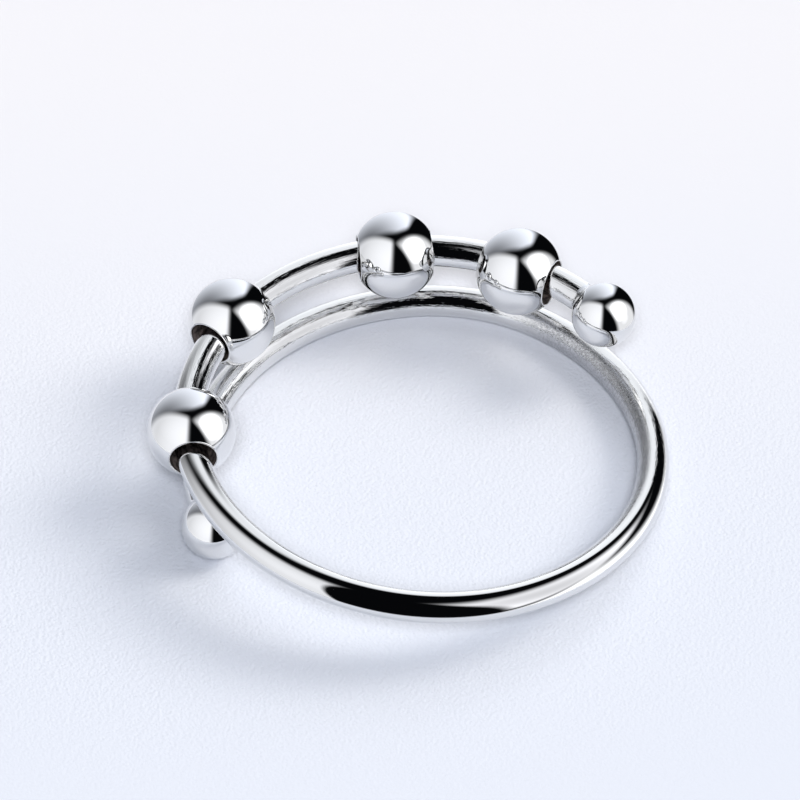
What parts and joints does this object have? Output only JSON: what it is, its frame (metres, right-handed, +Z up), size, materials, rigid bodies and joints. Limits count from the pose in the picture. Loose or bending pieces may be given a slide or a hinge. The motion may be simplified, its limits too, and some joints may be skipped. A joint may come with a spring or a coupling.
{
  "type": "spinner ring",
  "caption": "Open bypass ring of one round polished wire with a ball fused on each end and loose bored beads that spin on its upper strand.",
  "frame": {"origin": "on the finger's axis, at the level of the surface that the ring lies on", "axes": "+Z up, along the finger's axis; the open front of the ring faces -Y, and the beads ride over the back and left side"},
  "size_m": [0.0212, 0.0212, 0.0055],
  "materials": {
    "polished_wire": "mirror polished silver",
    "polished_bead": "mirror polished silver"
  },
  "bodies": {
    "band": {"wire_band": "polished_wire"},
    "bead_1": {"bead_1": "polished_bead"},
    "bead_2": {"bead_2": "polished_bead"},
    "bead_3": {"bead_3": "polished_bead"},
    "bead_4": {"bead_4": "polished_bead"}
  },
  "joints": [
    {"name": "bead_1_spin", "type": "hinge", "parent": "band", "child": "bead_1", "pos_m": [-0.00949, -0.00065, 0.00366], "axis": [-0.0743, 0.9972, 0], "continuous": true},
    {"name": "bead_2_spin", "type": "hinge", "parent": "band", "child": "bead_2", "pos_m": [-0.00796, 0.00553, 0.00358], "axis": [0.577, 0.8167, 0], "continuous": true},
    {"name": "bead_3_spin", "type": "hinge", "parent": "band", "child": "bead_3", "pos_m": [-0.00128, 0.00928, 0.00362], "axis": [0.993, 0.1177, 0], "continuous": true},
    {"name": "bead_4_spin", "type": "hinge", "parent": "band", "child": "bead_4", "pos_m": [0.00384, 0.00843, 0.00352], "axis": [0.9015, -0.4327, 0], "continuous": true}
  ]
}
